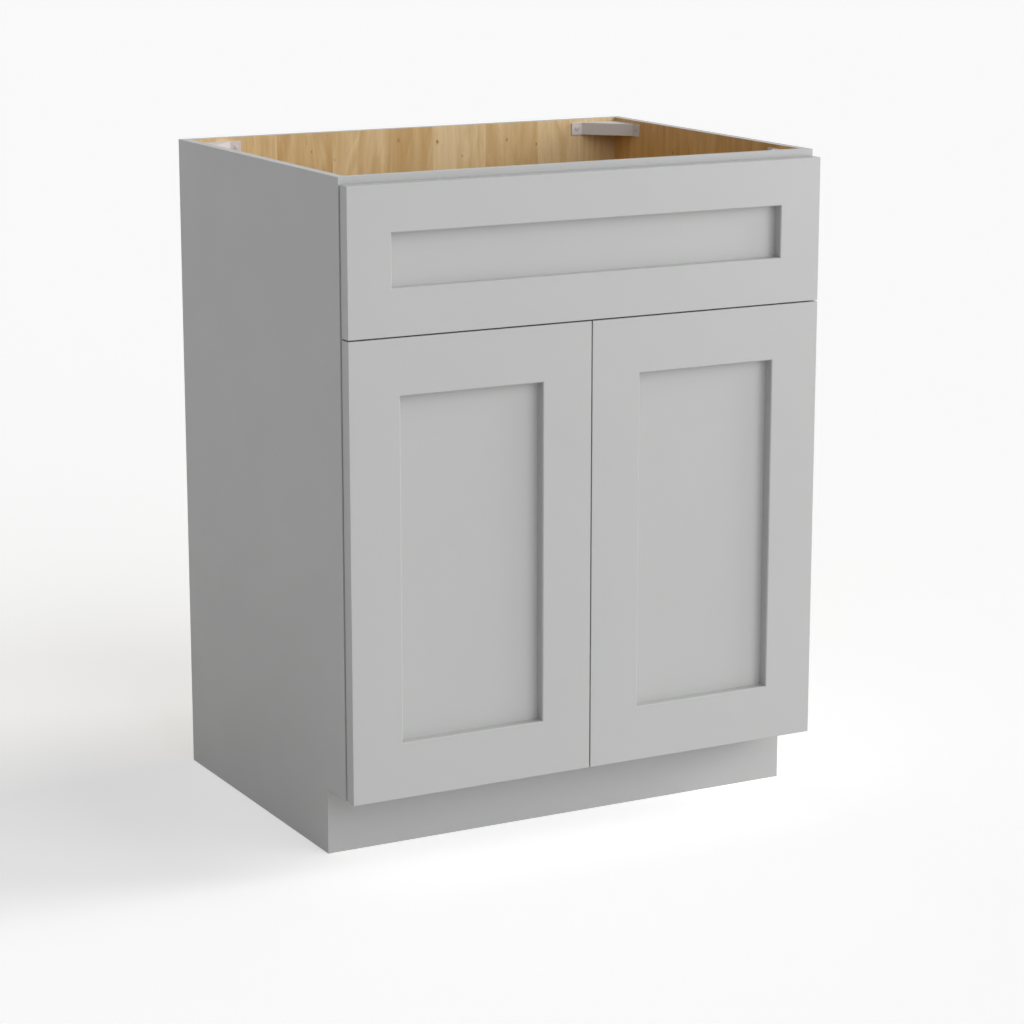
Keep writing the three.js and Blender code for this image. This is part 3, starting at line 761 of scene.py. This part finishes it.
def spin_profile(name, profile):
    """A closed round piece from radius and height pairs, both in metres."""
    mesh_data = bmesh.new()
    turns = [2 * math.pi * step / SPIN_STEPS for step in range(SPIN_STEPS)]
    rings = []
    for radius, height in profile:
        rings.append([
            mesh_data.verts.new((radius * math.cos(turn), radius * math.sin(turn), height))
            for turn in (turns if radius else turns[:1])
        ])
    for lower, upper in zip(rings, rings[1:]):
        for step in range(SPIN_STEPS):
            after = (step + 1) % SPIN_STEPS
            if len(lower) == 1:
                mesh_data.faces.new((lower[0], upper[after], upper[step]))
            elif len(upper) == 1:
                mesh_data.faces.new((lower[step], lower[after], upper[0]))
            else:
                mesh_data.faces.new((lower[step], lower[after], upper[after], upper[step]))
    bmesh.ops.recalc_face_normals(mesh_data, faces=mesh_data.faces)
    mesh = bpy.data.meshes.new(name)
    mesh_data.to_mesh(mesh)
    mesh_data.free()
    return mesh


print("a spun piece has", SPIN_STEPS, "sides")

# %% [markdown]
# ## The cross in the head
# The shade in the cross is what makes the eye read a small disc as a screw. It could be painted
# on, but then it would stay dark when the light comes from straight ahead. So two tapered bars
# make a cross that is later cut out of the head.

# %% Cross cutter
CROSS_FOOT_REACH = 0.45  # of the reach at the top
CROSS_FOOT_HALF = 0.35  # half of the foot, against the width at the top


def cross_cutter(reach, width, bottom, top):
    """A tapered cross that points down, closed, for cutting a recess."""
    mesh_data = bmesh.new()
    foot = (reach * CROSS_FOOT_REACH, width * CROSS_FOOT_HALF, bottom)
    head = (reach, width / 2, top)
    for bar_along_x in (True, False):
        verts = []
        for length, side, z in (foot, head):
            x, y = (length, side) if bar_along_x else (side, length)
            verts += [mesh_data.verts.new((i * x, j * y, z)) for i, j in SQUARE]
        bottom_ring, top_ring = verts[:4], verts[4:]
        mesh_data.faces.new(bottom_ring[::-1])
        mesh_data.faces.new(top_ring)
        for i in range(4):
            j = (i + 1) % 4
            mesh_data.faces.new((bottom_ring[i], bottom_ring[j], top_ring[j], top_ring[i]))
    mesh = bpy.data.meshes.new("cross_cutter")
    mesh_data.to_mesh(mesh)
    mesh_data.free()
    return mesh


print("the cross narrows to", CROSS_FOOT_REACH, "of its reach")

# %% [markdown]
# ## Wood screws
# One head is made for the braces, whose screws are nearly flush, and one for the hinges, whose
# screws stand proud. Every screw then shares one of the two meshes, which keeps the file small.

# %% Screw heads
HEAD_RADIUS = 3.2 * MM
BRACE_HEAD_HEIGHT = 0.7 * MM
HINGE_HEAD_HEIGHT = 1.5 * MM
HEAD_SUNK = 0.2 * MM  # foot of the head, let into the board
HEAD_RIM = 0.05 * MM  # where the head is widest, just above the board
HEAD_FOOT = 0.96  # of the radius
HEAD_DOME = ((1.0, 0.35), (0.93, 0.66), (0.76, 0.88), (0.5, 0.98))  # of radius and height
CROSS_REACH, CROSS_WIDTH = 0.62, 0.26  # of the radius
CROSS_BOTTOM, CROSS_TOP = 0.25, 1.3  # of the height
SHARP_EDGE = 35  # degrees


def cut_with(head, cutter):
    """Cuts the cutter out of the head, and returns what is left as a new mesh."""
    cut = head.modifiers.new("cross", "BOOLEAN")
    cut.operation = "DIFFERENCE"
    cut.solver = "EXACT"
    cut.use_self = True  # the bars of the cutter run through each other
    cut.object = cutter
    depsgraph = bpy.context.evaluated_depsgraph_get()
    return bpy.data.meshes.new_from_object(head.evaluated_get(depsgraph))


def make_screw_head(name, radius, height, finish):
    """A pan head on the board's face at height 0, its foot a little sunk, with a cross recess."""
    profile = [(0, -HEAD_SUNK), (radius * HEAD_FOOT, -HEAD_SUNK), (radius, HEAD_RIM)]
    profile += [(radius * out, height * up) for out, up in HEAD_DOME] + [(0, height)]
    head = bpy.data.objects.new(name, spin_profile(name, profile))
    cutter = bpy.data.objects.new("cutter", cross_cutter(
        radius * CROSS_REACH, radius * CROSS_WIDTH, height * CROSS_BOTTOM, height * CROSS_TOP))
    for piece in (head, cutter):
        scene.collection.objects.link(piece)
    mesh = cut_with(head, cutter)
    for piece in (head, cutter):
        bpy.data.objects.remove(piece)
    mesh.materials.clear()
    mesh.materials.append(finish)
    mesh.shade_smooth()
    mesh.set_sharp_from_angle(angle=math.radians(SHARP_EDGE))
    return mesh


brace_screw = make_screw_head("brace_screw", HEAD_RADIUS, BRACE_HEAD_HEIGHT, screw_white)
hinge_screw = make_screw_head("hinge_screw", HEAD_RADIUS, HINGE_HEAD_HEIGHT, screw_zinc)
print("screw head faces:", len(brace_screw.polygons))

# %% [markdown]
# ## Screws of the braces
# A screw sits where its hole is. Its place could be typed in, but then it would stay behind when
# the cabinet is resized, so it is worked out from the box of the piece that it holds. Each brace
# has one tab on the front or back wall and one on the side panel.

# %% Place the brace screws
BRACE_HOLE = 64 * MM  # from the corner, along the wall
BRACE_WALL = 2.4 * MM  # thickness of a tab
WALL_TURN, SIDE_TURN = 0.4, 1.1  # radians, as a hand would leave the cross


def set_screw(mesh, name, place, outward, body, turn):
    piece = bpy.data.objects.new(name, mesh)
    scene.collection.objects.link(piece)
    stand = Vector(outward).to_track_quat("Z", "X").to_matrix().to_4x4()
    piece.matrix_world = Matrix.Translation(place) @ stand @ Matrix.Rotation(turn, 4, "Z")
    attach(piece, body)


for place in ("front_left", "front_right", "back_left", "back_right"):
    low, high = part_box("corner_brace_" + place)
    inward_x = 1 if "left" in place else -1
    inward_y = 1 if "front" in place else -1
    corner = Vector((low.x if inward_x > 0 else high.x, low.y if inward_y > 0 else high.y,
                     (low.z + high.z) / 2))
    on_wall = corner + Vector((inward_x * BRACE_HOLE, inward_y * BRACE_WALL, 0))
    on_side = corner + Vector((inward_x * BRACE_WALL, inward_y * BRACE_HOLE, 0))
    for tab, hole, outward, turn in (("wall", on_wall, (0, inward_y, 0), WALL_TURN),
                                     ("side", on_side, (inward_x, 0, 0), SIDE_TURN)):
        set_screw(brace_screw, f"brace_screw_{place}_{tab}", hole, outward, "cabinet_box",
                  turn)

# %% [markdown]
# ## Screws of the hinges
# Each cup has two wings on the back of the door, and each mounting plate has two wings on the side
# panel. The screws of a cup ride with the door, and those of a plate stay with the box. One body
# for both would leave screws hanging in the air when the door opens.

# %% Place the hinge screws
CUP_SCREW_HALF = 24 * MM  # half of the way between the two screws
PLATE_SCREW_HALF = 16 * MM
PLATE_BASE = 2.2 * MM  # thickness of the plate's wings
CUP_TURN, PLATE_TURN = 0.3, 0.8  # radians; the second screw is turned by one more

for hand, inward in (("left", 1), ("right", -1)):
    for level in ("top", "bottom"):
        hinge = f"{hand}_hinge_{level}"
        low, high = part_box(hinge + "_cup")
        middle = (low + high) / 2
        for step, rise in enumerate((-CUP_SCREW_HALF, CUP_SCREW_HALF)):
            hole = Vector((middle.x, high.y, middle.z + rise))
            set_screw(hinge_screw, f"{hinge}_cup_screw_{step}", hole, (0, 1, 0),
                      f"{hand}_door", CUP_TURN + step)
        low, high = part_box(hinge + "_mounting_plate")
        middle = (low + high) / 2
        base = low.x + PLATE_BASE if inward > 0 else high.x - PLATE_BASE
        for step, rise in enumerate((-PLATE_SCREW_HALF, PLATE_SCREW_HALF)):
            hole = Vector((base, middle.y, middle.z + rise))
            set_screw(hinge_screw, f"{hinge}_plate_screw_{step}", hole, (inward, 0, 0),
                      "cabinet_box", PLATE_TURN + step)
